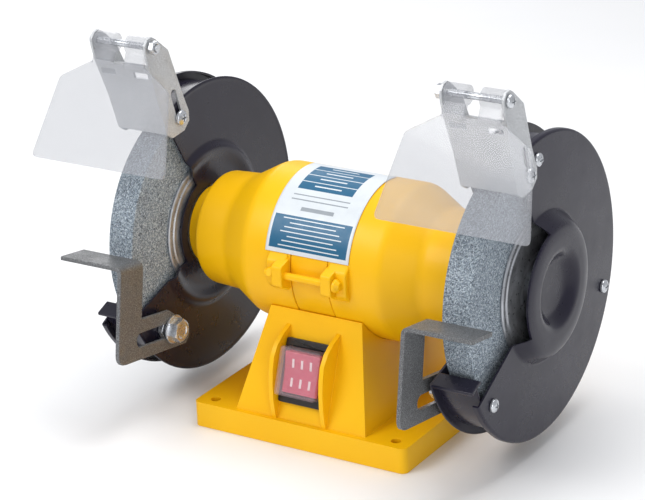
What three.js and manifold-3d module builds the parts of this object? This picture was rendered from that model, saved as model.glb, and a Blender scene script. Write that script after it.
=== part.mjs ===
// Six-inch bench grinder: a motor on a hollow pedestal base, with a guarded wheel,
// a tool rest and an eye shield at each end of the shaft.
// Units are millimetres. X runs along the shaft, -Y faces the operator, +Z is up,
// and the origin is under the middle of the base, on the bench.

import * as THREE from "three";
import { mergeVertices } from "three/addons/utils/BufferGeometryUtils.js";
import Module from "manifold-3d";

const wasm = await Module();
wasm.setup();

// ---------------------------------------------------------------- driving dimensions

const SHAFT_HEIGHT = 101;
const GAP = 0.3;
const DEG = Math.PI / 180;

const BASE = { halfX: 72.5, halfY: 67, height: 15.6, cornerRadius: 4 };
const BASE_HOLE = { x: 62, y: 58.5, radius: 3 };
const BASE_RECESS = { halfX: 56, halfY: 60.5, depth: 1.8 };
const BASE_CAVITY = { halfX: 43, halfY: 59.8, topHalfX: 32.5, topHalfY: 46.5, topZ: 49 };
const PEDESTAL = { halfX: 44.4, halfY: 63.4, topHalfX: 31, topHalfY: 40.8, topZ: 75.6 };

const MOTOR = { radius: 47, wall: 4, bandHalf: 12.5, coneStart: 45, coneEnd: 66.5, neckEnd: 88.5 };
const NECK_RADIUS = 35;
const HUB_BOSS = { radius: 24, end: 99.1, bore: 11 };
const BEARING = { outer: 17.5, inner: 7.55, start: 74, width: 11 };
const CORE = { outer: 42.7, bore: 25.5, half: 22, slots: 12 };
const SHAFT = { body: 10, journal: 7.45, arbor: 6.3, journalStart: 72.5, arborStart: 97, end: 128.6 };

const WHEEL = { radius: 76, inner: 103.6, outer: 120.4, bore: 6.6 };
const FLANGE = { radius: 40.5, sleeve: 10.4, thickness: 2.4 };
const NUT = { acrossCorners: 21.8, thickness: 5.5 };
const GUARD = { radius: 90.2, band: 85, plateStart: 99.4, sheet: 1.2, face: 127.5, hubHole: 16 };
const PLATE_OPENING = { lowRim: -21, lowHub: -29, highRim: 63, highHub: 67, hubRadius: 31 };
const COVER_OPENING = { lowRim: -28, lowHub: -28.5, highRim: 69.7, highHub: 74, hubRadius: 45 };
const LIP = { inner: 79, sweep: 1.4 };
const SKIRT_DEPTH = 4;
const COVER_SCREW = { angles: [-36.5, 84, 200], radius: 79, length: 6.5, shank: 1.6, head: 4 };

const REST = { motorSide: 93, thickness: 2.5, outerSide: 136.5, width: 22.5, drop: 59.8, tilt: 9 };
const REST_BOLT = { y: -54.7, z: 53.6, along: 54.5, below: 47.7, shank: 3.9 };
const BRACKET = { inner: 97.6, outer: 132.8, sheet: 1.5, innerTop: 96, outerTop: 135, bendZ: 192 };
const BRACKET_SLOT = { y: -27.6, z: 177.5, angle: 18, below: 1.5, above: 17, radius: 2.7 };
const PIVOT = { y: -54, z: 228, rod: 2 };
const SHIELD = { tilt: 26.2, thickness: 2.4, top: 12, shoulder: 24, length: 73.5 };
const SWITCH = { downFace: 35, halfX: 15.2, halfY: 19, bezel: 3 };
const LABEL = { left: -29.5, right: 26.5, lowAngle: 14, highAngle: 103, thickness: 0.35 };

// ---------------------------------------------------------------- materials

function finish(color, roughness, metalness, extra = {}) {
  return new THREE.MeshStandardMaterial({ color, roughness, metalness, ...extra });
}

const yellowPaint = () => finish(0xf2b91c, 0.32, 0.0);
const blackPaint = () => finish(0x3c3a45, 0.25, 0.1);
const zincPlate = () => finish(0xa9abad, 0.38, 0.9);
const brightSteel = () => finish(0xc4c6c8, 0.28, 1.0);
const groundSteel = () => finish(0xb0b3b6, 0.2, 1.0);
const abrasiveGrey = () => finish(0x7d8592, 0.95, 0.0);
const clearPlastic = () => finish(0xe4ebf0, 0.08, 0.0, { transparent: true, opacity: 0.35 });
const blackPlastic = () => finish(0x14110f, 0.4, 0.0);
const redPlastic = () => finish(0xb01328, 0.25, 0.0);
const copperWire = () => finish(0xa2572a, 0.45, 0.6);
const coreSteel = () => finish(0x6f7275, 0.5, 0.8);
const labelFoil = () => finish(0xf2f4f5, 0.4, 0.0);

// ---------------------------------------------------------------- solids and booleans

function toSolid(geometry) {
  const bare = geometry.clone();
  bare.deleteAttribute("normal");
  bare.deleteAttribute("uv");
  const merged = mergeVertices(bare, 1e-4);
  const vertProperties = new Float32Array(merged.attributes.position.array);
  const triVerts = new Uint32Array(merged.index.array);
  return new wasm.Manifold(new wasm.Mesh({ numProp: 3, vertProperties, triVerts }));
}

function toGeometry(solid) {
  const mesh = solid.getMesh();
  const geometry = new THREE.BufferGeometry();
  geometry.setAttribute("position", new THREE.BufferAttribute(new Float32Array(mesh.vertProperties), 3));
  geometry.setIndex(new THREE.BufferAttribute(new Uint32Array(mesh.triVerts), 1));
  geometry.computeVertexNormals();
  return geometry;
}

function combine(base, additions, cuts = []) {
  let solid = toSolid(base);
  for (const piece of additions) {
    solid = solid.add(toSolid(piece));
  }
  for (const piece of cuts) {
    solid = solid.subtract(toSolid(piece));
  }
  return toGeometry(solid);
}

function mirrored(geometry) {
  const copy = geometry.clone();
  copy.scale(-1, 1, 1);
  const index = copy.index.array;
  for (let i = 0; i < index.length; i += 3) {
    const first = index[i];
    index[i] = index[i + 1];
    index[i + 1] = first;
  }
  copy.computeVertexNormals();
  return copy;
}

function box(x0, x1, y0, y1, z0, z1) {
  const geometry = new THREE.BoxGeometry(x1 - x0, y1 - y0, z1 - z0);
  geometry.translate((x0 + x1) / 2, (y0 + y1) / 2, (z0 + z1) / 2);
  return geometry;
}

// A box whose upper face is scaled to its own half sizes.
function taperedBox(halfX, halfY, z0, topHalfX, topHalfY, z1) {
  const geometry = box(-halfX, halfX, -halfY, halfY, z0, z1);
  const position = geometry.attributes.position;
  for (let i = 0; i < position.count; i += 1) {
    if (position.getZ(i) > (z0 + z1) / 2) {
      position.setX(i, Math.sign(position.getX(i)) * topHalfX);
      position.setY(i, Math.sign(position.getY(i)) * topHalfY);
    }
  }
  return geometry;
}

// A profile of [x, radius] points turned about the line y, z parallel to X.
function turned(profile, segments, y = 0, z = SHAFT_HEIGHT) {
  const points = profile.map(([x, radius]) => new THREE.Vector2(radius, -x));
  if (THREE.ShapeUtils.area(points) < 0) {
    points.reverse();
  }
  const geometry = new THREE.LatheGeometry(points, segments);
  geometry.rotateZ(Math.PI / 2);
  geometry.rotateX(Math.PI / segments);
  geometry.translate(0, y, z);
  return geometry;
}

// A closed ring section from x0 to x1 between two radii.
function ring(x0, x1, inner, outer, segments, y, z) {
  const profile = [[x0, inner], [x0, outer], [x1, outer], [x1, inner], [x0, inner]];
  return turned(profile, segments, y, z);
}

function rod(x0, x1, radius, segments, y, z) {
  return turned([[x0, 0], [x0, radius], [x1, radius], [x1, 0]], segments, y, z);
}

// An outline drawn in the YZ plane and given depth from x0 to x1.
function slab(shape, x0, x1, curveSegments = 8) {
  const geometry = new THREE.ExtrudeGeometry(shape, { depth: x1 - x0, bevelEnabled: false, curveSegments });
  geometry.rotateZ(Math.PI / 2);
  geometry.rotateY(Math.PI / 2);
  geometry.translate(x0, 0, 0);
  return geometry;
}

function polygon(points) {
  return new THREE.Shape(points.map(([u, v]) => new THREE.Vector2(u, v)));
}

// A point on a circle about the shaft: 0 degrees faces the operator, 90 is straight up.
function polar(radius, degrees) {
  const angle = degrees * DEG;
  return [-radius * Math.cos(angle), SHAFT_HEIGHT + radius * Math.sin(angle)];
}

function roundedRectangle(halfX, halfY, radius) {
  const shape = new THREE.Shape();
  shape.absarc(halfX - radius, halfY - radius, radius, 0, Math.PI / 2);
  shape.absarc(-halfX + radius, halfY - radius, radius, Math.PI / 2, Math.PI);
  shape.absarc(-halfX + radius, -halfY + radius, radius, Math.PI, 1.5 * Math.PI);
  shape.absarc(halfX - radius, -halfY + radius, radius, 1.5 * Math.PI, 2 * Math.PI);
  return shape;
}

function slotShape(u0, v0, u1, v1, radius) {
  const direction = Math.atan2(v1 - v0, u1 - u0);
  const shape = new THREE.Shape();
  shape.absarc(u1, v1, radius, direction - Math.PI / 2, direction + Math.PI / 2);
  shape.absarc(u0, v0, radius, direction + Math.PI / 2, direction + 1.5 * Math.PI);
  return shape;
}

function prism(shape, z0, z1, curveSegments = 4) {
  const geometry = new THREE.ExtrudeGeometry(shape, { depth: z1 - z0, bevelEnabled: false, curveSegments });
  geometry.translate(0, 0, z0);
  return geometry;
}

function upright(x, y, z0, z1, radius, segments) {
  const geometry = new THREE.CylinderGeometry(radius, radius, z1 - z0, segments);
  geometry.rotateX(Math.PI / 2);
  geometry.translate(x, y, (z0 + z1) / 2);
  return geometry;
}

// ---------------------------------------------------------------- assembly helpers

const grinder = new THREE.Group();

function addPart(name, geometry, material) {
  const mesh = new THREE.Mesh(geometry, material);
  mesh.name = name;
  grinder.add(mesh);
}

// Parts at the shaft's two ends are drawn for the +X end and mirrored for the other.
function addPair(name, geometry, material) {
  const indexed = geometry.index ? geometry : mergeVertices(geometry);
  addPart(`right_${name}`, indexed, material());
  addPart(`left_${name}`, mirrored(indexed), material());
}

// ---------------------------------------------------------------- base and pedestal

// Height on the pedestal's front face, measured down the slope from its top edge.
const FACE_RUN = PEDESTAL.halfY - PEDESTAL.topHalfY;
const FACE_DROP = PEDESTAL.topZ - BASE.height;
const FACE_LENGTH = Math.hypot(FACE_RUN, FACE_DROP);
const FACE_ANGLE = Math.atan2(FACE_DROP, FACE_RUN);

function facePoint(down) {
  const y = -PEDESTAL.topHalfY - (down * FACE_RUN) / FACE_LENGTH;
  const z = PEDESTAL.topZ - (down * FACE_DROP) / FACE_LENGTH;
  return [y, z];
}

// Turns a geometry drawn flat (face outward along +Z) onto the pedestal's front face.
function ontoFace(geometry) {
  const [y, z] = facePoint(SWITCH.downFace);
  geometry.rotateX(FACE_ANGLE);
  geometry.translate(0, y, z);
  return geometry;
}

// The curved cheeks that stand either side of the switch and shield it from knocks.
function switchCheek(x0, x1) {
  const outline = polygon([
    [-40, 62], [-43.6, 67.6], [-52.5, 64.2], [-59, 60], [-63.6, 54], [-65.6, 46],
    [-66.4, 38], [-66.4, 28], [-65.2, 18.5], [-64, 14], [-54, 14],
  ]);
  return slab(outline, x0, x1);
}

// The cord gland sits in a round boss that gives the sloping rear face an upright seat.
const GLAND = { x: 18, z: 30, seatY: 62.5, bossRadius: 10, bossDepth: 14, holeRadius: 6.4 };

function glandBoss() {
  const boss = new THREE.CylinderGeometry(GLAND.bossRadius, GLAND.bossRadius, GLAND.bossDepth, 24);
  boss.translate(GLAND.x, GLAND.seatY - GLAND.bossDepth / 2, GLAND.z);
  return boss;
}

function glandHole() {
  const hole = new THREE.CylinderGeometry(GLAND.holeRadius, GLAND.holeRadius, 40, 20);
  hole.translate(GLAND.x, GLAND.seatY - 10, GLAND.z);
  return hole;
}

// Two screws, one each side of centre, hold the end bells down on the pedestal.
const SADDLE_SCREW_X = 28;

function baseCasting() {
  const plate = prism(roundedRectangle(BASE.halfX, BASE.halfY, BASE.cornerRadius), 0, BASE.height);
  const tower = taperedBox(
    PEDESTAL.halfX, PEDESTAL.halfY, BASE.height - 1, PEDESTAL.topHalfX, PEDESTAL.topHalfY, PEDESTAL.topZ,
  );
  const cheeks = [switchCheek(15.6, 18.4), switchCheek(-18.4, -15.6)];
  const cuts = [
    box(-BASE_RECESS.halfX, BASE_RECESS.halfX, -BASE_RECESS.halfY, BASE_RECESS.halfY, -1, BASE_RECESS.depth),
    taperedBox(
      BASE_CAVITY.halfX, BASE_CAVITY.halfY, BASE_RECESS.depth - 1,
      BASE_CAVITY.topHalfX, BASE_CAVITY.topHalfY, BASE_CAVITY.topZ,
    ),
    rod(-80, 80, MOTOR.radius + GAP, 64),
    ontoFace(box(-13.6, 13.6, -16.4, 16.4, -12, 6)),
    glandHole(),
  ];
  for (const x of [-BASE_HOLE.x, BASE_HOLE.x]) {
    for (const y of [-BASE_HOLE.y, BASE_HOLE.y]) {
      cuts.push(upright(x, y, -1, BASE.height + 1, BASE_HOLE.radius, 20));
    }
  }
  for (const x of [-SADDLE_SCREW_X, SADDLE_SCREW_X]) {
    cuts.push(upright(x, 0, BASE_CAVITY.topZ - 2, 60, 3, 12));
  }
  return combine(plate, [tower, ...cheeks, glandBoss()], cuts);
}

function bottomCover() {
  const margin = 0.4;
  const shape = roundedRectangle(BASE_RECESS.halfX - margin, BASE_RECESS.halfY - margin, 2);
  return prism(shape, 0, BASE_RECESS.depth - GAP);
}

// Drawn about the Y axis from its inner end to its rounded nose, with a bore for the cord.
function cableGland() {
  const profile = [
    [3.7, -16], [6, -16], [6, GAP], [9, GAP], [9, 4], [7.4, 5], [7, 7], [5.4, 8.5], [3.7, 8.5], [3.7, -16],
  ];
  const points = profile.map(([radius, height]) => new THREE.Vector2(radius, height));
  const geometry = new THREE.LatheGeometry(points, 20);
  geometry.translate(GLAND.x, GLAND.seatY, GLAND.z);
  return geometry;
}

function saddleScrew(x) {
  const head = upright(x, 0, BASE_CAVITY.topZ - 3.8, BASE_CAVITY.topZ - GAP, 4.6, 12);
  const shank = upright(x, 0, BASE_CAVITY.topZ - 2, 57.4, 2.4, 12);
  return combine(head, [shank]);
}

const CAPACITOR = { halfX: 22, halfY: 13, corner: 4, top: 23, y: 24 };

function capacitor() {
  const shape = roundedRectangle(CAPACITOR.halfX, CAPACITOR.halfY, CAPACITOR.corner);
  const geometry = prism(shape, BASE_RECESS.depth + GAP, CAPACITOR.top);
  geometry.translate(0, CAPACITOR.y, 0);
  return geometry;
}

// ---------------------------------------------------------------- switch

function switchBody() {
  const bezel = prism(roundedRectangle(SWITCH.halfX, SWITCH.halfY, 1.5), GAP, SWITCH.bezel);
  const housing = box(-13.2, 13.2, -16, 16, -11.6, 1);
  const well = box(-12.4, 12.4, -14.4, 14.4, -8, 6);
  return ontoFace(combine(bezel, [housing], [well]));
}

// The rocker pivots on the switch's own X axis, ROCKER_PIVOT above the pedestal face.
const ROCKER_PIVOT = 1;

function switchRocker() {
  const outline = new THREE.Shape();
  outline.moveTo(-12.2, -1);
  outline.lineTo(-12.2, 7.2);
  outline.quadraticCurveTo(0, 5.2, 12.2, 7.2);
  outline.lineTo(12.2, -1);
  outline.lineTo(5, -5);
  outline.lineTo(-5, -5);
  outline.closePath();
  const geometry = slab(outline, -11.9, 11.9, 6);
  geometry.translate(0, 0, -ROCKER_PIVOT);
  geometry.rotateX(6 * DEG);
  geometry.translate(0, 0, ROCKER_PIVOT);
  return ontoFace(geometry);
}

// A soft clear boot with a flat top, open below, that keeps dust out of the rocker.
function switchBoot() {
  const shell = prism(roundedRectangle(13.7, 14.4, 2), SWITCH.bezel + GAP, 11);
  const inside = prism(roundedRectangle(12.9, 13.6, 1.6), SWITCH.bezel - 1, 10.2);
  return ontoFace(combine(shell, [], [inside]));
}

// ---------------------------------------------------------------- motor

function endBell() {
  const { radius, wall, bandHalf, coneStart, coneEnd, neckEnd } = MOTOR;
  const inner = radius - wall;
  const pocketEnd = BEARING.start + BEARING.width + GAP;
  const profile = [
    [bandHalf + 0.15, inner], [bandHalf + 0.15, radius], [coneStart - 2, radius], [coneStart, radius - 0.5],
    [coneEnd - 2, NECK_RADIUS + 1.3], [coneEnd, NECK_RADIUS + 0.3], [neckEnd - 4, NECK_RADIUS - 0.4],
    [neckEnd - 1.4, NECK_RADIUS - 1.6], [neckEnd, NECK_RADIUS - 4.5], [neckEnd, HUB_BOSS.radius],
    [HUB_BOSS.end, HUB_BOSS.radius], [HUB_BOSS.end, HUB_BOSS.bore], [pocketEnd, HUB_BOSS.bore],
    [pocketEnd, BEARING.outer + GAP], [BEARING.start - GAP, BEARING.outer + GAP], [BEARING.start - GAP, 30],
    [coneEnd - 3, 31.5], [coneStart, inner], [bandHalf + 0.15, inner],
  ];
  const bell = turned(profile, 36);
  const lugs = [boltLug(-1), boltLug(1)];
  const cuts = [
    boltHole(-1), boltHole(1),
    upright(SADDLE_SCREW_X, 0, 50, 64, 2.8, 12),
  ];
  return combine(bell, lugs, cuts);
}

// The long bolts that clamp the end bells lie just outside the shell, front and rear.
const THROUGH_BOLT = { offset: 51.6, rod: 2.2, head: 4.2, lugStart: 13, lugEnd: 20 };

function boltLug(side) {
  const half = 8;
  const reach = THROUGH_BOLT.offset + 4.4;
  const root = MOTOR.radius - 2.5;
  const outline = polygon([
    [side * root, SHAFT_HEIGHT - half - 1], [side * reach, SHAFT_HEIGHT - half + 3],
    [side * reach, SHAFT_HEIGHT + half - 3], [side * root, SHAFT_HEIGHT + half + 1],
  ]);
  return slab(outline, THROUGH_BOLT.lugStart, THROUGH_BOLT.lugEnd);
}

function boltHole(side) {
  return rod(0, 40, THROUGH_BOLT.rod + 0.35, 10, side * THROUGH_BOLT.offset, SHAFT_HEIGHT);
}

function throughBolt(side) {
  const y = side * THROUGH_BOLT.offset;
  const shank = rod(-26.5, THROUGH_BOLT.lugEnd + 2, THROUGH_BOLT.rod, 10, y, SHAFT_HEIGHT);
  const start = THROUGH_BOLT.lugEnd + GAP;
  const head = turned(
    [
      [start, 0], [start, THROUGH_BOLT.head], [start + 1.6, THROUGH_BOLT.head],
      [start + 4, 2.4], [start + 4, 0],
    ],
    12, y, SHAFT_HEIGHT,
  );
  return combine(head, [shank]);
}

function throughNut(side) {
  const end = -THROUGH_BOLT.lugEnd - GAP;
  const y = side * THROUGH_BOLT.offset;
  const blank = rod(end - 3.4, end, THROUGH_BOLT.head, 6, y, SHAFT_HEIGHT);
  return combine(blank, [], [rod(end - 5, end + 1, THROUGH_BOLT.rod + GAP, 10, y, SHAFT_HEIGHT)]);
}

function statorBand() {
  const { radius, wall, bandHalf } = MOTOR;
  return ring(-bandHalf + 0.15, bandHalf - 0.15, radius - wall, radius - 0.15, 36);
}

function statorCore() {
  const core = ring(-CORE.half, CORE.half, CORE.bore, CORE.outer, 36);
  const cuts = [];
  for (let i = 0; i < CORE.slots; i += 1) {
    const angle = (360 / CORE.slots) * i;
    const [y, z] = polar(30.5, angle);
    const slot = box(-CORE.half - 1, CORE.half + 1, -2.2, 2.2, -6.5, 6.5);
    slot.rotateX(-(angle - 90) * DEG);
    slot.translate(0, y, z);
    cuts.push(slot);
  }
  return combine(core, [], cuts);
}

function coilEnd() {
  const start = CORE.half + 0.5;
  const profile = [
    [start, 29], [start, 39], [start + 5, 41], [start + 10, 38.5], [start + 11.5, 33.5], [start + 9, 28.5],
    [start, 29],
  ];
  return turned(profile, 24);
}

function ratingLabel() {
  const { left, right, lowAngle, highAngle, thickness } = LABEL;
  const steps = 12;
  const outline = [];
  for (let i = 0; i <= steps; i += 1) {
    outline.push(polar(MOTOR.radius + GAP + thickness, lowAngle + ((highAngle - lowAngle) * i) / steps));
  }
  for (let i = steps; i >= 0; i -= 1) {
    outline.push(polar(MOTOR.radius + GAP, lowAngle + ((highAngle - lowAngle) * i) / steps));
  }
  return slab(polygon(outline), left, right);
}

// ---------------------------------------------------------------- spindle

function spindleShaft() {
  const { body, journal, arbor, journalStart, arborStart, end } = SHAFT;
  const half = [[end, 0], [end, arbor - 0.8], [end - 0.8, arbor], [arborStart, arbor], [arborStart, journal],
    [journalStart, journal], [journalStart, body]];
  const otherHalf = half.map(([x, radius]) => [-x, radius]).reverse();
  const profile = [...half, ...otherHalf].reverse();
  return turned(profile, 24);
}

function rotorCore() {
  const airGap = 0.6;
  const { half, bore } = CORE;
  const ringEnd = half + 5;
  const [ringInner, ringOuter] = [14, 22];
  const profile = [
    [-ringEnd, ringInner], [-ringEnd, ringOuter], [-half, ringOuter], [-half, bore - airGap],
    [half, bore - airGap], [half, ringOuter], [ringEnd, ringOuter], [ringEnd, ringInner],
    [half, ringInner], [half, SHAFT.body + GAP], [-half, SHAFT.body + GAP], [-half, ringInner],
    [-ringEnd, ringInner],
  ];
  return turned(profile, 24);
}

function bearing() {
  const { outer, inner, start, width } = BEARING;
  const end = start + width;
  const profile = [
    [start, inner], [start, inner + 2.4], [start + 0.7, inner + 2.6], [start + 0.7, outer - 2.6],
    [start, outer - 2.4], [start, outer], [end, outer], [end, outer - 2.4], [end - 0.7, outer - 2.6],
    [end - 0.7, inner + 2.6], [end, inner + 2.4], [end, inner], [start, inner],
  ];
  return turned(profile, 20);
}

function grindingWheel() {
  const { radius, inner, outer, bore } = WHEEL;
  const bevel = 1;
  const profile = [
    [inner, bore], [inner, radius - bevel], [inner + bevel, radius], [outer - bevel, radius],
    [outer, radius - bevel], [outer, bore], [inner, bore],
  ];
  return turned(profile, 56);
}

// The pressed flanges touch the wheel only near their rims, so each has a shallow relief.
const RELIEF = { radius: 32, depth: 0.6 };

function innerFlange() {
  const start = SHAFT.arborStart + GAP;
  const end = WHEEL.inner - GAP;
  const back = end - 1.9;
  const profile = [
    [start, WHEEL.bore], [start, FLANGE.sleeve], [back, FLANGE.sleeve], [back, FLANGE.radius - 1],
    [back + 0.8, FLANGE.radius], [end, FLANGE.radius], [end, RELIEF.radius],
    [end - RELIEF.depth, RELIEF.radius - 0.6], [end - RELIEF.depth, WHEEL.bore], [start, WHEEL.bore],
  ];
  return turned(profile, 30);
}

function outerFlange() {
  const start = WHEEL.outer + GAP;
  const end = start + FLANGE.thickness;
  const profile = [
    [start + RELIEF.depth, WHEEL.bore], [start + RELIEF.depth, RELIEF.radius - 0.6], [start, RELIEF.radius],
    [start, FLANGE.radius], [start + 1.1, FLANGE.radius], [end - 0.4, FLANGE.radius - 4], [end - 0.3, 20],
    [end, 17], [end, WHEEL.bore], [start + RELIEF.depth, WHEEL.bore],
  ];
  return turned(profile, 30);
}

function arborNut() {
  const start = WHEEL.outer + 2 * GAP + FLANGE.thickness;
  const end = start + NUT.thickness;
  const blank = rod(start, end, NUT.acrossCorners / 2, 6);
  return combine(blank, [], [rod(start - 1, end + 1, SHAFT.arbor + GAP, 20)]);
}

// ---------------------------------------------------------------- wheel guards

// A front opening, drawn as the wedge that is cut from a plate or from the cover.
function openingWedge(opening, x0, x1) {
  const far = 130;
  const { lowRim, lowHub, highRim, highHub, hubRadius } = opening;
  const points = [
    polar(hubRadius, lowHub), polar(GUARD.radius, lowRim), polar(far, lowRim), polar(far, 20),
    polar(far, highRim), polar(GUARD.radius, highRim), polar(hubRadius, highHub),
  ];
  const steps = 8;
  for (let i = 1; i < steps; i += 1) {
    points.push(polar(hubRadius, highHub + ((lowHub - highHub) * i) / steps));
  }
  return slab(polygon(points), x0, x1);
}

function coverScrewHoles(x0, x1, radius) {
  return COVER_SCREW.angles.map((angle) => rod(x0, x1, radius, 10, ...polar(COVER_SCREW.radius, angle)));
}

// The folded flange that stiffens the lower end of the band.
function guardLip(x0, x1) {
  const start = PLATE_OPENING.lowRim;
  const end = start - LIP.sweep;
  const corners = [
    polar(LIP.inner, start), polar(GUARD.radius, start), polar(GUARD.radius, end), polar(LIP.inner, end),
  ];
  return slab(polygon(corners), x0, x1);
}

// A tab folded in from the band's outer edge to take a cover screw.
function coverTab(angle, x0, x1) {
  const half = 4;
  const [low, high] = [COVER_SCREW.radius - 5, GUARD.band - 0.3];
  const corners = [
    polar(low, angle - half + 1), polar(high, angle - half), polar(high, angle + half),
    polar(low, angle + half - 1),
  ];
  return slab(polygon(corners), x0, x1);
}

function innerGuard() {
  const { radius, band, plateStart, sheet, face, hubHole } = GUARD;
  const plateEnd = plateStart + sheet;
  const bandEnd = face - sheet - GAP;
  const plate = ring(plateStart, plateEnd, hubHole, radius, 48);
  const hoop = ring(plateEnd - 0.2, bandEnd, band - sheet, band, 48);
  const wedge = openingWedge(PLATE_OPENING, plateStart - 2, face + 2);
  const tabs = COVER_SCREW.angles.map((angle) => coverTab(angle, bandEnd - 3, bandEnd));
  const holes = [
    ...coverScrewHoles(bandEnd - 9, bandEnd + 2, COVER_SCREW.shank + 0.4),
    rod(plateStart - 2, plateEnd + 2, REST_BOLT.shank + 0.4, 16, REST_BOLT.y, REST_BOLT.z),
    rod(plateStart - 2, plateEnd + 2, BRACKET_SCREW.shank + GAP, 12, BRACKET_SLOT.y, BRACKET_SLOT.z),
  ];
  const shell = combine(plate, [hoop], [wedge]);
  return combine(shell, [guardLip(plateEnd - 0.2, bandEnd), ...tabs], holes);
}

function outerCover() {
  const { radius, sheet, face } = GUARD;
  const fillet = 3.2;
  const outside = [
    [face - SKIRT_DEPTH, radius], [face - fillet, radius], [face - 1, radius - 1], [face, radius - fillet],
    [face, 44.4], [face + 1.2, 42.6], [face + 6.5, 38.8], [face + 9.2, 35.6], [face + 9.8, 31],
    [face + 9.4, 24.5], [face + 8, 21.5], [face + 4.6, 17.5], [face + 4, 12], [face + 4, 0],
  ];
  const inside = outside.map(([x, r]) => [x - sheet, r]).slice(3).reverse();
  const skirtInside = [[face - fillet, radius - sheet], [face - SKIRT_DEPTH, radius - sheet]];
  const disc = turned([...outside, ...inside, ...skirtInside, outside[0]], 48);
  const wedge = openingWedge(COVER_OPENING, face - 12, face + 14);
  const holes = coverScrewHoles(face - 6, face + 4, COVER_SCREW.shank + 0.7);
  holes.push(rod(face - 6, face + 4, BRACKET_SCREW.shank + GAP, 12, BRACKET_SLOT.y, BRACKET_SLOT.z));
  return combine(disc, [], [wedge, ...holes]);
}

function coverScrew(angle) {
  const { radius, length, shank, head } = COVER_SCREW;
  const [y, z] = polar(radius, angle);
  const seat = GUARD.face + GAP;
  const cap = turned(
    [[seat, 0], [seat, head], [seat + 1, head], [seat + 2.4, head - 1.2], [seat + 2.8, 1.2], [seat + 2.8, 0]],
    14, y, z,
  );
  return combine(cap, [rod(seat - length, seat + 1, shank, 8, y, z)]);
}

// ---------------------------------------------------------------- tool rests

// The rest is drawn level with its bend at the origin, then tilted and hung on its bolt.
function hangRest(geometry) {
  geometry.translate(0, -REST_BOLT.along, REST_BOLT.below);
  geometry.rotateX(-REST.tilt * DEG);
  geometry.translate(0, REST_BOLT.y, REST_BOLT.z);
  return geometry;
}

function toolRest() {
  const { motorSide, thickness, outerSide, width, drop } = REST;
  const bend = 4.5;
  const section = new THREE.Shape();
  section.moveTo(motorSide, -bend - 2);
  section.lineTo(motorSide, -bend);
  section.absarc(motorSide + bend, -bend, bend, Math.PI, Math.PI / 2, true);
  section.lineTo(outerSide, 0);
  section.lineTo(outerSide, -thickness);
  section.lineTo(motorSide + bend, -thickness);
  section.absarc(motorSide + bend, -bend, bend - thickness, Math.PI / 2, Math.PI, false);
  section.lineTo(motorSide + thickness, -bend - 2);
  section.closePath();
  const table = new THREE.ExtrudeGeometry(section, { depth: width, bevelEnabled: false, curveSegments: 5 });
  table.rotateX(Math.PI / 2);
  table.translate(0, width, 0);
  const arm = new THREE.Shape();
  arm.moveTo(0, -bend);
  arm.lineTo(width, -bend);
  arm.lineTo(width, -35);
  arm.lineTo(50, -35.4);
  arm.lineTo(66, -45);
  arm.quadraticCurveTo(77, -53, 69, -drop);
  arm.lineTo(8, -drop);
  arm.quadraticCurveTo(0, -drop, 0, -drop + 8);
  arm.closePath();
  const strap = slab(arm, motorSide, motorSide + thickness, 5);
  const slot = slab(
    slotShape(22.4, -REST_BOLT.below, 59, -REST_BOLT.below, REST_BOLT.shank + 0.45),
    motorSide - 1, motorSide + thickness + 1, 6,
  );
  return hangRest(combine(table, [strap], [slot]));
}

function restBolt() {
  const { y, z, shank } = REST_BOLT;
  const seat = REST.motorSide - GAP;
  const washer = rod(seat - 1.5, seat, 8.75, 20, y, z);
  const head = rod(seat - 7, seat - 1.4, 7.4, 6, y, z);
  const stem = rod(seat - 0.5, GUARD.plateStart + GUARD.sheet, shank, 16, y, z);
  return combine(washer, [head, stem]);
}

function weldNut() {
  const start = REST.motorSide + REST.thickness + GAP;
  const cornerRadius = 7.5;
  const blank = rod(start, GUARD.plateStart - GAP, cornerRadius, 6, REST_BOLT.y, REST_BOLT.z);
  const bore = rod(start - 1, GUARD.plateStart + 1, REST_BOLT.shank + 0.3, 16, REST_BOLT.y, REST_BOLT.z);
  return combine(blank, [], [bore]);
}

// ---------------------------------------------------------------- eye shields

const BRACKET_SCREW = { shank: 2, head: 4.6 };
const PLATE_TOP = [-57, 217];
const PLATE_BOTTOM = [-41.2, 170.6];

// A cheek of the channel: level with the guard below the bend, leaning outward above it.
function bracketFlange(x0, x1, lean) {
  const lower = polygon([
    PLATE_BOTTOM, [-48.5, BRACKET.bendZ], [-24, BRACKET.bendZ], [-18.5, 179], [-18.6, 173], [-24, 168.4],
    [-36, 167.2],
  ]);
  const earRadius = 6;
  const ear = [200, 160, 120, 80, 40].map((angle) => [
    PIVOT.y + earRadius * Math.cos(angle * DEG),
    PIVOT.z + earRadius * Math.sin(angle * DEG),
  ]);
  const upper = polygon([
    [-48.5, BRACKET.bendZ], PLATE_TOP, ...ear, [-37.5, 222], [-24, BRACKET.bendZ],
  ]);
  const upperSlab = slab(upper, x0, x1);
  const position = upperSlab.attributes.position;
  const top = PLATE_TOP[1];
  for (let i = 0; i < position.count; i += 1) {
    const rise = Math.min(position.getZ(i), top) - BRACKET.bendZ;
    position.setX(i, position.getX(i) + (lean * rise) / (top - BRACKET.bendZ));
  }
  return combine(slab(lower, x0, x1), [upperSlab]);
}

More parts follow.
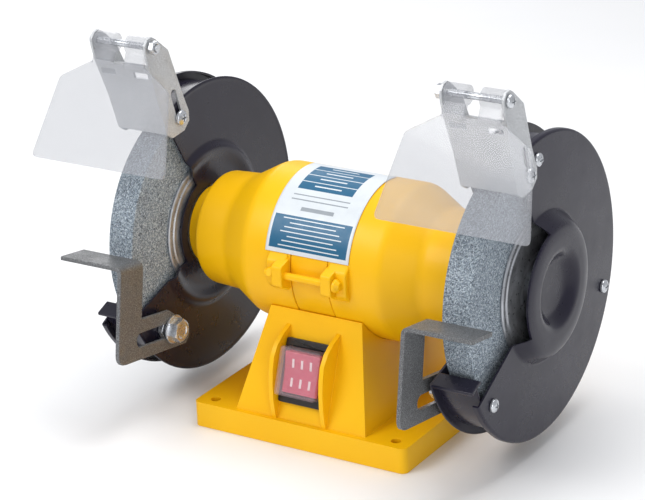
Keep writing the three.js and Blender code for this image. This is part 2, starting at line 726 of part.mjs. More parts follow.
// The front plate of the channel: narrow above the wheel, wide at the pivot.
function bracketPlate() {
  const { inner, outer, innerTop, outerTop, sheet, bendZ } = BRACKET;
  const run = PLATE_TOP[0] - PLATE_BOTTOM[0];
  const rise = PLATE_TOP[1] - PLATE_BOTTOM[1];
  const length = Math.hypot(run, rise);
  const bend = ((bendZ - PLATE_BOTTOM[1]) / rise) * length;
  const shape = polygon([
    [inner, 0], [outer, 0], [outer, bend], [outerTop, length], [innerTop, length], [inner, bend],
  ]);
  const geometry = new THREE.ExtrudeGeometry(shape, { depth: sheet, bevelEnabled: false });
  geometry.translate(0, 0, -sheet);
  geometry.rotateX(Math.atan2(rise, run));
  geometry.translate(0, ...PLATE_BOTTOM);
  return geometry;
}

// Two small windows pierced near the top of the channel's front plate.
const WINDOW = { width: 10, height: 4, z: 208, inset: 3 };

function bracketWindows() {
  const { width, height, z, inset } = WINDOW;
  return [BRACKET.innerTop + inset, BRACKET.outerTop - inset - width].map(
    (x) => box(x, x + width, -64, -50, z, z + height),
  );
}

function shieldBracket() {
  const { inner, outer, innerTop, outerTop, sheet } = BRACKET;
  const motorFlange = bracketFlange(inner, inner + sheet, innerTop - inner);
  const outerFlangePlate = bracketFlange(outer - sheet, outer, outerTop - outer);
  const angle = BRACKET_SLOT.angle * DEG;
  const point = (distance) => [
    BRACKET_SLOT.y - distance * Math.sin(angle),
    BRACKET_SLOT.z + distance * Math.cos(angle),
  ];
  const slot = slotShape(...point(-BRACKET_SLOT.below), ...point(BRACKET_SLOT.above), BRACKET_SLOT.radius);
  const cuts = [
    slab(slot, inner - 3, outer + 3, 5),
    rod(innerTop - 5, outerTop + 5, PIVOT.rod + 0.2, 12, PIVOT.y, PIVOT.z),
    ...bracketWindows(),
  ];
  return combine(bracketPlate(), [motorFlange, outerFlangePlate], cuts);
}

function bracketScrew(seat, direction, tip) {
  const { shank, head } = BRACKET_SCREW;
  const [y, z] = [BRACKET_SLOT.y, BRACKET_SLOT.z];
  const profile = [[0, 0], [0, head], [1.2, head], [3, head - 1.6], [3.4, 1.5], [3.4, 0]];
  const cap = turned(profile.map(([x, radius]) => [seat + direction * x, radius]), 14, y, z);
  const [low, high] = direction > 0 ? [tip, seat + 1] : [seat - 1, tip];
  return combine(cap, [rod(low, high, shank, 10, y, z)]);
}

function innerBracketScrew() {
  return bracketScrew(BRACKET.inner - GAP, -1, GUARD.plateStart + GUARD.sheet + 1.5);
}

// The outer screw carries a collar that holds the channel clear of the cover.
function outerBracketScrew() {
  const screw = bracketScrew(BRACKET.outer + GAP, 1, GUARD.face - GUARD.sheet - 2);
  const collarEnd = BRACKET.outer - BRACKET.sheet - GAP;
  const collar = rod(GUARD.face + GAP, collarEnd, 3.9, 14, BRACKET_SLOT.y, BRACKET_SLOT.z);
  return combine(screw, [collar]);
}

// The outer faces of the channel's two ears, which the pivot bolt clamps.
const EAR = { inner: BRACKET.innerTop, outer: BRACKET.outerTop };

function pivotBolt() {
  const seat = EAR.outer + GAP;
  const head = turned(
    [[seat, 0], [seat, 3.9], [seat + 1.2, 3.9], [seat + 2.8, 2.4], [seat + 3, 0]],
    14, PIVOT.y, PIVOT.z,
  );
  return combine(head, [rod(EAR.inner - 5, seat + 1, PIVOT.rod, 12, PIVOT.y, PIVOT.z)]);
}

function pivotNut() {
  const end = EAR.inner - GAP;
  const blank = rod(end - 3.6, end, 4.3, 6, PIVOT.y, PIVOT.z);
  return combine(blank, [], [rod(end - 5, end + 1, PIVOT.rod + GAP, 12, PIVOT.y, PIVOT.z)]);
}

// The clear shield is drawn hanging straight down from the pivot, then tilted forward.
function eyeShield() {
  const { tilt, thickness, top, shoulder, length } = SHIELD;
  const [topIn, topOut] = [EAR.inner + 2, EAR.outer - 2];
  const outline = new THREE.Shape();
  outline.moveTo(topIn, -top);
  outline.lineTo(79, -shoulder + 0.5);
  outline.lineTo(77.5, -shoulder - 1.5);
  outline.lineTo(69.4, -length + 3.5);
  outline.quadraticCurveTo(69, -length, 72.5, -length);
  outline.lineTo(159.5, -length);
  outline.quadraticCurveTo(163, -length, 162.6, -length + 3.5);
  outline.lineTo(154.5, -shoulder - 1.5);
  outline.lineTo(153, -shoulder + 0.5);
  outline.lineTo(topOut, -top);
  outline.closePath();
  const settings = { depth: thickness, bevelEnabled: false, curveSegments: 4 };
  const pane = new THREE.ExtrudeGeometry(outline, settings);
  pane.translate(0, 0, -thickness / 2);
  pane.rotateX(Math.PI / 2);
  const knuckles = [[topIn, topIn + 13], [topOut - 13, topOut]].flatMap(([x0, x1]) => [
    rod(x0, x1, 5.6, 20, 0, 0),
    box(x0, x1, -2.4, 1.2, -top - 2, -3),
  ]);
  const bore = rod(topIn - 2, topOut + 2, PIVOT.rod + 0.1, 16, 0, 0);
  const shield = combine(pane, knuckles, [bore]);
  shield.rotateX(-tilt * DEG);
  shield.translate(0, PIVOT.y, PIVOT.z);
  return shield;
}

// ---------------------------------------------------------------- the assembly

addPart("base_casting", baseCasting(), yellowPaint());
addPart("bottom_cover", bottomCover(), zincPlate());
addPart("cable_gland", cableGland(), blackPlastic());
addPart("capacitor", capacitor(), blackPlastic());
addPart("saddle_screw_left", saddleScrew(-SADDLE_SCREW_X), zincPlate());
addPart("saddle_screw_right", saddleScrew(SADDLE_SCREW_X), zincPlate());
addPart("switch_body", switchBody(), blackPlastic());
addPart("switch_rocker", switchRocker(), redPlastic());
addPart("switch_boot", switchBoot(), clearPlastic());

addPair("end_bell", endBell(), yellowPaint);
addPart("stator_band", statorBand(), yellowPaint());
addPart("stator_core", statorCore(), coreSteel());
addPair("stator_coil", coilEnd(), copperWire);
addPair("bearing", bearing(), brightSteel);
for (const [place, side] of [["front", -1], ["rear", 1]]) {
  addPart(`through_bolt_${place}`, throughBolt(side), yellowPaint());
  addPart(`through_nut_${place}`, throughNut(side), yellowPaint());
}
addPart("rating_label", ratingLabel(), labelFoil());

addPart("spindle_shaft", spindleShaft(), groundSteel());
addPart("rotor_core", rotorCore(), coreSteel());
addPair("inner_flange", innerFlange(), brightSteel);
addPair("grinding_wheel", grindingWheel(), abrasiveGrey);
addPair("outer_flange", outerFlange(), brightSteel);
addPair("arbor_nut", arborNut(), brightSteel);

addPair("inner_guard", innerGuard(), blackPaint);
addPair("outer_cover", outerCover(), blackPaint);
COVER_SCREW.angles.forEach((angle, index) => {
  addPair(`cover_screw_${index + 1}`, coverScrew(angle), brightSteel);
});

addPair("tool_rest", toolRest(), zincPlate);
addPair("rest_bolt", restBolt(), brightSteel);
addPair("rest_weld_nut", weldNut(), brightSteel);

addPair("shield_bracket", shieldBracket(), zincPlate);
addPair("bracket_screw_inner", innerBracketScrew(), brightSteel);
addPair("bracket_screw_outer", outerBracketScrew(), brightSteel);
addPair("pivot_bolt", pivotBolt(), brightSteel);
addPair("pivot_nut", pivotNut(), brightSteel);
addPair("eye_shield", eyeShield(), clearPlastic);

export default grinder;
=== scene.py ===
import math

import bmesh
import bpy
from mathutils import Matrix, Vector


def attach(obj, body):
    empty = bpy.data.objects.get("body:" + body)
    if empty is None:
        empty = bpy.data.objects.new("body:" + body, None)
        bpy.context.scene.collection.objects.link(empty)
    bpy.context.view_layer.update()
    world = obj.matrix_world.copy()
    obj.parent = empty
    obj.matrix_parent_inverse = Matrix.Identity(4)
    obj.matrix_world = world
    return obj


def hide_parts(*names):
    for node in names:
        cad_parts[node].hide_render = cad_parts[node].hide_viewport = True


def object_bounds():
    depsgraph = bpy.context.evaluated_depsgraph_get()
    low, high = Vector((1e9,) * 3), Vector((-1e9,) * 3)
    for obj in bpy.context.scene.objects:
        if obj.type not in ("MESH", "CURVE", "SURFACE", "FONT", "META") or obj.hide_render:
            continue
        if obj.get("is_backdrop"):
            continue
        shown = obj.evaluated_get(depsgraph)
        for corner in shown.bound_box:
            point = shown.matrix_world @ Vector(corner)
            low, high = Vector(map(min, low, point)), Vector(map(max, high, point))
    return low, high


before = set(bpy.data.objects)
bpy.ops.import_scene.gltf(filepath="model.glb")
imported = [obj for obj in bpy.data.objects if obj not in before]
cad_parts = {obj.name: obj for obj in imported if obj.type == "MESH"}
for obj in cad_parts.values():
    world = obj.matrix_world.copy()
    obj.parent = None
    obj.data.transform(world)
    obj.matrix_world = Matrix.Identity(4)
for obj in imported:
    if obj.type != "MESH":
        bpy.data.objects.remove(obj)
CAD_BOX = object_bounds()

MM = 0.001
SHAFT_Z = 101.0
SIDES = (("right", 1), ("left", -1))

# ------------------------------------------------------------------ driving sizes (mm)

MOTOR_R = 47.0
NECK_R = 35.0
BAND_HALF = 12.5
WHEEL = {"radius": 76.0, "inner": 103.6, "outer": 120.4, "bore": 6.6}
FLANGE_R = 40.5
GUARD = {"radius": 90.0, "band": 84.8, "plate": 99.4, "sheet": 1.2, "face": 127.5, "hub_hole": 24.6}
PLATE_OPENING = {"low_rim": -21, "low_hub": -29, "high_rim": 63, "high_hub": 67, "hub": 31}
COVER_OPENING = {"low_rim": -28, "low_hub": -28.7, "high_rim": 69.7, "high_hub": 75.9, "hub": 37}
LABEL = {"x0": -29.5, "x1": 26.5, "low": 14.0, "high": 103.0, "lift": 0.3, "thick": 0.35, "foil": 0.3}
LUG = {"start": 13.0, "end": 20.0, "foot_end": 27.0, "reach": 56.0}
COVER_SCREW = {"angles": (-36.5, 84, 200), "circle": 79, "head": 4.0, "tip": 121.3}
REST_BOLT = {"y": -54.7, "z": 53.6, "seat": 92.7, "washer_radius": 8.75, "washer": 1.5, "head": 7.0}
BRACKET_SCREW = {"y": -27.6, "z": 177.5, "head": 4.6, "shank": 2.0, "inner_seat": 97.3, "outer_seat": 133.1}
PIVOT = {"y": -54, "z": 228, "head": 3.9, "shank": 2.0, "seat": 135.3, "tip": 91.0}
SCREW_HEAD_HEIGHT = 2.8
GAP = 0.3


# ------------------------------------------------------------------ small helpers

def polar(radius, degrees):
    """A (y, z) point about the shaft: 0 degrees faces the operator, 90 is straight up."""
    angle = math.radians(degrees)
    return (-radius * math.cos(angle), SHAFT_Z + radius * math.sin(angle))


def rounded(points, radius, steps=5, closed=True):
    """Swaps each corner of a 2-D outline for a small curve that stays inside it."""
    result = []
    count = len(points)
    for i, here in enumerate(points):
        at_end = not closed and i in (0, count - 1)
        before = Vector(points[i - 1]) - Vector(here)
        after = Vector(points[(i + 1) % count]) - Vector(here)
        size = radius[i] if isinstance(radius, (list, tuple)) else radius
        if at_end or size <= 0 or before.length < 1e-6 or after.length < 1e-6:
            result.append(tuple(here))
            continue
        reach = min(size, before.length * 0.48, after.length * 0.48)
        start = Vector(here) + before.normalized() * reach
        end = Vector(here) + after.normalized() * reach
        for k in range(steps + 1):
            t = k / steps
            point = start * (1 - t) ** 2 + Vector(here) * 2 * t * (1 - t) + end * t * t
            result.append((point.x, point.y))
    return result


def new_object(name, bm, materials, smooth=30):
    bmesh.ops.remove_doubles(bm, verts=bm.verts, dist=1e-7)
    bmesh.ops.recalc_face_normals(bm, faces=bm.faces)
    mesh = bpy.data.meshes.new(name)
    for material in materials if isinstance(materials, list) else [materials]:
        mesh.materials.append(material)
    bm.to_mesh(mesh)
    bm.free()
    obj = bpy.data.objects.new(name, mesh)
    bpy.context.scene.collection.objects.link(obj)
    shade(obj, smooth)
    return obj


def shade(obj, smooth=30):
    mesh = obj.data
    mesh.shade_smooth()
    mesh.set_sharp_from_angle(angle=math.radians(smooth))


def applied(obj):
    """Bakes an object's modifiers into its mesh."""
    graph = bpy.context.evaluated_depsgraph_get()
    mesh = bpy.data.meshes.new_from_object(obj.evaluated_get(graph))
    obj.modifiers.clear()
    old = obj.data
    obj.data = mesh
    bpy.data.meshes.remove(old)
    return obj


def bevelled(obj, width, segments=2, angle=35):
    bevel = obj.modifiers.new("edges", "BEVEL")
    bevel.width = width * MM
    bevel.segments = segments
    bevel.limit_method = "ANGLE"
    bevel.angle_limit = math.radians(angle)
    bevel.miter_outer = "MITER_ARC"
    weights = obj.modifiers.new("normals", "WEIGHTED_NORMAL")
    weights.keep_sharp = True
    weights.weight = 60
    return applied(obj)


def carve(obj, cutters, operation="DIFFERENCE"):
    for cutter in cutters:
        cut = obj.modifiers.new("cut", "BOOLEAN")
        cut.operation = operation
        cut.object = cutter
        cut.solver = "EXACT"
    applied(obj)
    for cutter in cutters:
        mesh = cutter.data
        bpy.data.objects.remove(cutter)
        bpy.data.meshes.remove(mesh)
    return obj


def turned(name, profile, material, y=0.0, z=SHAFT_Z, segments=128, smooth=30):
    """Turns a list of (x, radius) points about a line parallel to the shaft."""
    bm = bmesh.new()
    rings = []
    for x, radius in profile:
        if radius < 1e-6:
            rings.append([bm.verts.new((x * MM, y * MM, z * MM))])
            continue
        ring = []
        for k in range(segments):
            angle = 2 * math.pi * k / segments
            ring.append(bm.verts.new((
                x * MM, (y + radius * math.cos(angle)) * MM, (z + radius * math.sin(angle)) * MM,
            )))
        rings.append(ring)
    for a, b in zip(rings, rings[1:]):
        for k in range(segments):
            quad = [a[k % len(a)], a[(k + 1) % len(a)], b[(k + 1) % len(b)], b[k % len(b)]]
            corners = list(dict.fromkeys(quad))
            if len(corners) > 2:
                bm.faces.new(corners)
    return new_object(name, bm, material, smooth)


def slab(name, outline, x0, x1, material, smooth=30):
    """Gives a (y, z) outline depth along the shaft."""
    bm = bmesh.new()
    near = [bm.verts.new((x0 * MM, y * MM, z * MM)) for y, z in outline]
    far = [bm.verts.new((x1 * MM, y * MM, z * MM)) for y, z in outline]
    bm.faces.new(near)
    bm.faces.new(list(reversed(far)))
    for i in range(len(outline)):
        j = (i + 1) % len(outline)
        bm.faces.new([near[j], near[i], far[i], far[j]])
    return new_object(name, bm, material, smooth)


def block(name, low, high, material):
    """A plain cutter or a starting block between two corners."""
    outline = [(low[1], low[2]), (high[1], low[2]), (high[1], high[2]), (low[1], high[2])]
    return slab(name, outline, low[0], high[0], material)


def mirror_x(profile, sign):
    return [(x * sign, radius) for x, radius in profile]


def place(obj, body, nodes=()):
    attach(obj, body)
    if nodes:
        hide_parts(*nodes)
    return obj


def dressed(node, body, material, width=0.4, segments=2, angle=35, smooth=35):
    """A copy of a CAD node with its coplanar facets merged and its edges rounded."""
    bm = bmesh.new()
    bm.from_mesh(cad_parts[node].data)
    for face in bm.faces:
        face.material_index = 0
    bmesh.ops.remove_doubles(bm, verts=bm.verts, dist=2e-6)
    bmesh.ops.dissolve_limit(
        bm, angle_limit=math.radians(0.6), verts=bm.verts, edges=bm.edges, delimit=set(),
    )
    obj = new_object(f"{node}_finished", bm, material, smooth)
    bevelled(obj, width, segments, angle)
    return place(obj, body, (node,))


# ------------------------------------------------------------------ material helpers

class Shader:
    """A Principled material and short calls for the nodes around it."""

    def __init__(self, name, color, roughness, metallic=0.0):
        self.material = bpy.data.materials.new(name)
        self.material.use_nodes = True
        self.tree = self.material.node_tree
        self.bsdf = self.tree.nodes["Principled BSDF"]
        self.bsdf.inputs["Base Color"].default_value = (*color, 1)
        self.bsdf.inputs["Roughness"].default_value = roughness
        self.bsdf.inputs["Metallic"].default_value = metallic
        self.coords = self.node("ShaderNodeTexCoord").outputs["Object"]
        self.height = None

    def node(self, kind):
        return self.tree.nodes.new(kind)

    def link(self, output, socket):
        self.tree.links.new(output, socket)

    def set(self, **values):
        for key, value in values.items():
            self.bsdf.inputs[key.replace("_", " ")].default_value = value
        return self

    def noise(self, scale, detail=3.0, roughness=0.5, stretch=None):
        texture = self.node("ShaderNodeTexNoise")
        texture.inputs["Scale"].default_value = scale
        texture.inputs["Detail"].default_value = detail
        texture.inputs["Roughness"].default_value = roughness
        coords = self.coords
        if stretch:
            mapping = self.node("ShaderNodeMapping")
            mapping.inputs["Scale"].default_value = stretch
            self.link(self.coords, mapping.inputs["Vector"])
            coords = mapping.outputs["Vector"]
        self.link(coords, texture.inputs["Vector"])
        return texture.outputs["Fac"]

    def cells(self, scale, feature="F1"):
        texture = self.node("ShaderNodeTexVoronoi")
        texture.feature = feature
        texture.inputs["Scale"].default_value = scale
        self.link(self.coords, texture.inputs["Vector"])
        return texture.outputs

    def ramp(self, factor, stops, constant=False):
        ramp = self.node("ShaderNodeValToRGB")
        elements = ramp.color_ramp.elements
        while len(elements) < len(stops):
            elements.new(0.5)
        for element, (position, color) in zip(elements, stops):
            element.position = position
            element.color = (*color, 1) if len(color) == 3 else color
        if constant:
            ramp.color_ramp.interpolation = "CONSTANT"
        self.link(factor, ramp.inputs["Fac"])
        return ramp.outputs["Color"]

    def span(self, factor, low, high, start=0.0, end=1.0):
        mapper = self.node("ShaderNodeMapRange")
        for key, value in (("From Min", start), ("From Max", end), ("To Min", low), ("To Max", high)):
            mapper.inputs[key].default_value = value
        self.link(factor, mapper.inputs["Value"])
        return mapper.outputs["Result"]

    def color(self, output):
        self.link(output, self.bsdf.inputs["Base Color"])
        return self

    def rough(self, factor, low, high, start=0.3, end=0.7):
        self.link(self.span(factor, low, high, start, end), self.bsdf.inputs["Roughness"])
        return self

    def bump(self, factor, strength, distance):
        bump = self.node("ShaderNodeBump")
        bump.inputs["Strength"].default_value = strength
        bump.inputs["Distance"].default_value = distance * MM
        self.link(factor, bump.inputs["Height"])
        if self.height:
            self.link(self.height, bump.inputs["Normal"])
        self.height = bump.outputs["Normal"]
        self.link(self.height, self.bsdf.inputs["Normal"])
        return self


# ------------------------------------------------------------------ materials

def enamel(name, low, high, roughness, coat):
    """Enamel with a faint orange-peel surface and slight colour drift."""
    shader = Shader(name, low, roughness)
    drift = shader.noise(14, 4, 0.55)
    shader.color(shader.ramp(drift, [(0.3, low), (0.7, high)]))
    shader.rough(shader.noise(60, 5, 0.6), roughness - 0.05, roughness + 0.08)
    shader.bump(shader.noise(420, 2, 0.5), 0.12, 0.12)
    shader.bump(shader.noise(2600, 2, 0.5), 0.05, 0.03)
    shader.set(Coat_Weight=coat, Coat_Roughness=0.12, Specular_IOR_Level=0.28)
    return shader.material


def zinc(name, tones, metallic):
    """Zinc-plated sheet: a fine frosted speckle over a faint crystalline mottling."""
    shader = Shader(name, (tones[1],) * 3, 0.5, metallic)
    grain = shader.noise(1600, 5, 0.75)
    stops = [(place_on, (tone, tone * 1.02, tone * 1.04)) for place_on, tone in zip((0.32, 0.5, 0.7), tones)]
    shader.color(shader.ramp(grain, stops))
    shader.rough(shader.cells(190)["Color"], 0.42, 0.6, 0.0, 1.0)
    shader.bump(shader.noise(1200, 4, 0.7), 0.3, 0.06)
    shader.bump(shader.noise(45, 3, 0.5), 0.15, 0.3)
    return shader.material


def plated(name, color, roughness, metallic):
    """Bright plated fasteners with faint tool marks."""
    shader = Shader(name, color, roughness, metallic)
    tone = shader.noise(240, 4, 0.6)
    dark = tuple(c * 0.78 for c in color)
    shader.color(shader.ramp(tone, [(0.32, dark), (0.66, color)]))
    shader.rough(shader.noise(500, 3, 0.6), roughness - 0.06, roughness + 0.12)
    shader.bump(shader.noise(700, 3, 0.6, (1.0, 0.25, 0.25)), 0.12, 0.05)
    return shader.material


def turned_steel(name):
    """Pressed and turned flanges: fine concentric lines come from stretched noise."""
    shader = Shader(name, (0.5, 0.51, 0.53), 0.32, 0.6)
    lines = shader.noise(150, 4, 0.6, (14.0, 0.6, 0.6))
    shader.color(shader.ramp(lines, [(0.3, (0.28, 0.29, 0.31)), (0.7, (0.62, 0.64, 0.67))]))
    shader.rough(shader.noise(400, 4, 0.6), 0.24, 0.44)
    shader.bump(lines, 0.15, 0.06)
    return shader.material


def abrasive(name):
    """Vitrified abrasive: packed grains of several greys with open pores between them."""
    shader = Shader(name, (0.2, 0.23, 0.27), 0.92)
    grains = shader.cells(1900)
    tone = shader.ramp(grains["Color"], [
        (0.1, (0.09, 0.11, 0.13)), (0.36, (0.25, 0.29, 0.33)), (0.62, (0.42, 0.48, 0.53)),
        (0.88, (0.74, 0.8, 0.84)),
    ])
    clump = shader.ramp(shader.noise(620, 5, 0.7), [(0.32, (0.62, 0.66, 0.7)), (0.66, (1.0, 1.0, 1.0))])
    mix = shader.node("ShaderNodeMix")
    mix.data_type = "RGBA"
    mix.blend_type = "MULTIPLY"
    mix.inputs["Factor"].default_value = 1.0
    shader.link(tone, mix.inputs["A"])
    shader.link(clump, mix.inputs["B"])
    shader.color(mix.outputs["Result"])
    shader.bump(grains["Distance"], 0.9, 0.35)
    shader.bump(shader.noise(500, 5, 0.75), 0.7, 0.5)
    shader.set(Specular_IOR_Level=0.3)
    return shader.material


def clear_plastic(name, tint, alpha, roughness=0.06):
    """Clear moulded plastic, thin enough that it is drawn as mostly see-through."""
    shader = Shader(name, tint, roughness)
    shader.set(IOR=1.49, Alpha=alpha, Coat_Weight=0.3, Coat_Roughness=0.04)
    shader.rough(shader.noise(120, 4, 0.6), roughness, roughness + 0.1)
    shader.bump(shader.noise(70, 3, 0.5), 0.05, 0.2)
    return shader.material


def moulded(name, low, high, roughness):
    """Moulded plastic with a fine spark texture."""
    shader = Shader(name, low, roughness)
    shader.color(shader.ramp(shader.noise(90, 4, 0.6), [(0.3, low), (0.7, high)]))
    shader.rough(shader.noise(300, 4, 0.6), roughness - 0.05, roughness + 0.1)
    shader.bump(shader.noise(1500, 3, 0.6), 0.2, 0.05)
    return shader.material


def printed(name, color, drift=0.93):
    """Printed foil: flat ink with a very slight unevenness and a soft sheen."""
    shader = Shader(name, color, 0.38)
    dim = tuple(c * drift for c in color)
    shader.color(shader.ramp(shader.noise(160, 4, 0.6), [(0.3, dim), (0.7, color)]))
    shader.rough(shader.noise(240, 3, 0.5), 0.32, 0.44)
    shader.bump(shader.noise(900, 2, 0.5), 0.04, 0.03)
    return shader.material


def winding(name):
    """Varnished copper wire laid round the stator."""
    shader = Shader(name, (0.45, 0.17, 0.07), 0.4, 0.7)
    strands = shader.noise(300, 3, 0.6, (6.0, 0.4, 0.4))
    shader.color(shader.ramp(strands, [(0.35, (0.2, 0.06, 0.02)), (0.65, (0.62, 0.27, 0.11))]))
    shader.rough(strands, 0.3, 0.55)
    shader.bump(strands, 0.6, 0.4)
    return shader.material


MATERIALS = {
    "yellow_paint": enamel("yellow_enamel", (0.9, 0.48, 0.001), (0.93, 0.52, 0.002), 0.4, 0.04),
    "black_paint": enamel("black_enamel", (0.012, 0.0105, 0.021), (0.018, 0.016, 0.03), 0.28, 0.1),
    "zinc_plate": zinc("zinc_plate", (0.34, 0.55, 0.78), 0.6),
    "dull_zinc": zinc("dull_zinc_plate", (0.055, 0.14, 0.4), 0.4),
    "bright_steel": plated("bright_plate", (0.7, 0.72, 0.75), 0.24, 0.8),
    "flange_steel": turned_steel("flange_steel"),
    "core_steel": plated("core_laminations", (0.3, 0.3, 0.31), 0.5, 1.0),
    "winding": winding("winding_wire"),
    "abrasive": abrasive("abrasive_grain"),
    "black_plastic": moulded("black_moulding", (0.012, 0.011, 0.01), (0.022, 0.02, 0.019), 0.42),
    "red_plastic": moulded("red_moulding", (0.5, 0.045, 0.09), (0.6, 0.07, 0.13), 0.24),
    "pale_marks": printed("pale_marks", (0.86, 0.74, 0.76)),
    "clear_plastic": clear_plastic("clear_plastic", (0.45, 0.46, 0.49), 0.33),
    "soft_boot": clear_plastic("soft_clear_boot", (0.8, 0.6, 0.65), 0.12, 0.12),
    "label_white": printed("label_white", (0.68, 0.72, 0.75)),
    "label_blue": printed("label_blue", (0.006, 0.11, 0.22)),
    "label_grey": printed("label_grey", (0.3, 0.33, 0.36)),
    "cutter": bpy.data.materials.new("cutter"),
}


# ------------------------------------------------------------------ motor

def end_bell(side, sign):
    """The cast end bell: a round shell, a cone and a neck that carries the guard."""
    corners = [
        (BAND_HALF + 0.25, 43.5), (BAND_HALF + 0.25, MOTOR_R), (45.5, MOTOR_R), (66.0, NECK_R + 0.6),
        (88.5, NECK_R - 0.6), (88.5, 24.0), (99.1, 24.0), (99.1, 11.2), (86.0, 11.2), (86.0, 18.0),
        (74.0, 18.0), (74.0, 30.0), (63.5, 31.5), (45.0, 43.0),
    ]
    radii = [0.2, 0.5, 3.4, 3.2, 3.6, 1.0, 0.8, 0.4, 0.2, 0.2, 0.4, 1.0, 3.0, 3.0]
    profile = rounded(corners, radii, 8)
    profile.append(profile[0])
    bell = turned(f"{side}_end_bell_shell", mirror_x(profile, sign), MATERIALS["yellow_paint"], smooth=28)
    place(bell, "frame", (f"{side}_end_bell",))
    for place_name, direction in (("front", -1), ("rear", 1)):
        bolt_lug(side, sign, place_name, direction)


def bolt_lug(side, sign, place_name, direction):
    """A cast lug that the long through bolt passes, widening where it meets the shell."""
    yellow = MATERIALS["yellow_paint"]
    root = direction * (MOTOR_R - 2.5)
    tip = direction * LUG["reach"]
    outline = rounded([
        (root, SHAFT_Z - 10.5), (tip, SHAFT_Z - 6.0), (tip, SHAFT_Z + 6.5), (root, SHAFT_Z + 9.5),
    ], [0, 2.2, 2.2, 0], 5)
    low, high = sorted((LUG["start"] * sign, LUG["end"] * sign))
    lug = slab(f"{side}_{place_name}_bolt_lug", outline, low, high, yellow)
    bevelled(lug, 0.7, 3, 60)
    place(lug, "frame")
    web = rounded([
        (root, SHAFT_Z - 12.5), (direction * 50.5, SHAFT_Z - 7.0), (direction * 50.5, SHAFT_Z + 7.0),
        (root, SHAFT_Z + 12.5),
    ], [0, 2.0, 2.0, 0], 4)
    low, high = sorted(((LUG["start"] + 1.0) * sign, LUG["foot_end"] * sign))
    foot = slab(f"{side}_{place_name}_lug_foot", web, low, high, yellow)
    bevelled(foot, 1.2, 3, 60)
    place(foot, "frame")


def stator_band():
    profile = rounded([
        (-12.2, 43.2), (-12.2, 46.75), (12.2, 46.75), (12.2, 43.2),
    ], [0.1, 0.45, 0.45, 0.1], 4)
    profile.append(profile[0])
    band = turned("stator_band_shell", profile, MATERIALS["yellow_paint"])
    place(band, "frame", ("stator_band",))


def label_cell(x, angle):
    """Which ink a point of the label carries: bands, stripes and plain rules, no lettering."""
    in_panel = -27.6 < x < 25.0 and 17.0 < angle < 41.0
    if in_panel:
        row = (angle - 19.0) / 3.25
        on_rule = 0 <= row < 6.3 and (row % 1.0) < 0.2
        short = 2.5 * ((int(row) * 7) % 3)
        return "label_white" if on_rule and -22 + short < x < 20 - short else "label_blue"
    in_stripes = -21.5 < x < 15.5 and 63.5 < angle < 96.5
    if in_stripes:
        row = (angle - 63.5) / 8.25
        if (row % 1.0) > 0.9:
            return "label_white"
        on_rule = 0.42 < (row % 1.0) < 0.58
        return "label_white" if on_rule and -12 < x < 7 else "label_blue"
    if -13.0 < x < 10.0 and 45.5 < angle < 48.5:
        return "label_grey"
    if -22.0 < x < 17.0 and (53.6 < angle < 54.6 or 57.4 < angle < 58.4):
        return "label_grey"
    return "label_white"


def rating_label():
    """A thin foil wrapped on the shell, its panels cut as faces with their own inks."""
    bm = bmesh.new()
    inks = ["label_white", "label_blue", "label_grey"]
    columns, rows = 56, 356
    outer = MOTOR_R + LABEL["lift"] + LABEL["thick"]
    grid = []
    for j in range(rows + 1):
        angle = LABEL["low"] + (LABEL["high"] - LABEL["low"]) * j / rows
        y, z = polar(outer, angle)
        line = []
        for i in range(columns + 1):
            x = LABEL["x0"] + (LABEL["x1"] - LABEL["x0"]) * i / columns
            line.append(bm.verts.new((x * MM, y * MM, z * MM)))
        grid.append(line)
    for j in range(rows):
        angle = LABEL["low"] + (LABEL["high"] - LABEL["low"]) * (j + 0.5) / rows
        for i in range(columns):
            x = LABEL["x0"] + (LABEL["x1"] - LABEL["x0"]) * (i + 0.5) / columns
            face = bm.faces.new([grid[j][i], grid[j][i + 1], grid[j + 1][i + 1], grid[j + 1][i]])
            face.material_index = inks.index(label_cell(x, angle))
    label = new_object("rating_label_foil", bm, [MATERIALS[ink] for ink in inks])
    thick = label.modifiers.new("foil", "SOLIDIFY")
    thick.thickness = LABEL["foil"] * MM
    thick.offset = -1
    applied(label)
    place(label, "frame", ("rating_label",))


# ------------------------------------------------------------------ wheels and flanges

def wheel(side, sign):
    profile = rounded([
        (WHEEL["inner"], WHEEL["bore"]), (WHEEL["inner"], WHEEL["radius"]),
        (WHEEL["outer"], WHEEL["radius"]), (WHEEL["outer"], WHEEL["bore"]),
    ], [0, 1.2, 1.2, 0], 4)
    profile.append(profile[0])
    obj = turned(f"{side}_wheel_grit", mirror_x(profile, sign), MATERIALS["abrasive"], segments=160)
    place(obj, "spindle", (f"{side}_grinding_wheel",))


def inner_flange(side, sign):
    """A pressed clamping flange with raised rings, and the sleeve that backs it."""
    end = WHEEL["inner"] - GAP
    corners = [
        (97.3, WHEEL["bore"]), (97.3, 10.4), (end - 1.9, 10.4), (end - 1.9, 27.0), (end - 1.3, 27.6),
        (end - 1.3, 31.5), (end - 1.9, 32.1), (end - 1.9, 35.6), (end - 1.0, 36.4), (end - 0.9, 37.8),
        (end - 1.6, 38.4), (end - 1.5, 39.8), (end - 0.8, FLANGE_R), (end, FLANGE_R), (end, WHEEL["bore"]),
    ]
    profile = rounded(corners, 0.25, 3)
    profile.append(profile[0])
    obj = turned(f"{side}_inner_flange_rings", mirror_x(profile, sign), MATERIALS["flange_steel"])
    place(obj, "spindle", (f"{side}_inner_flange",))


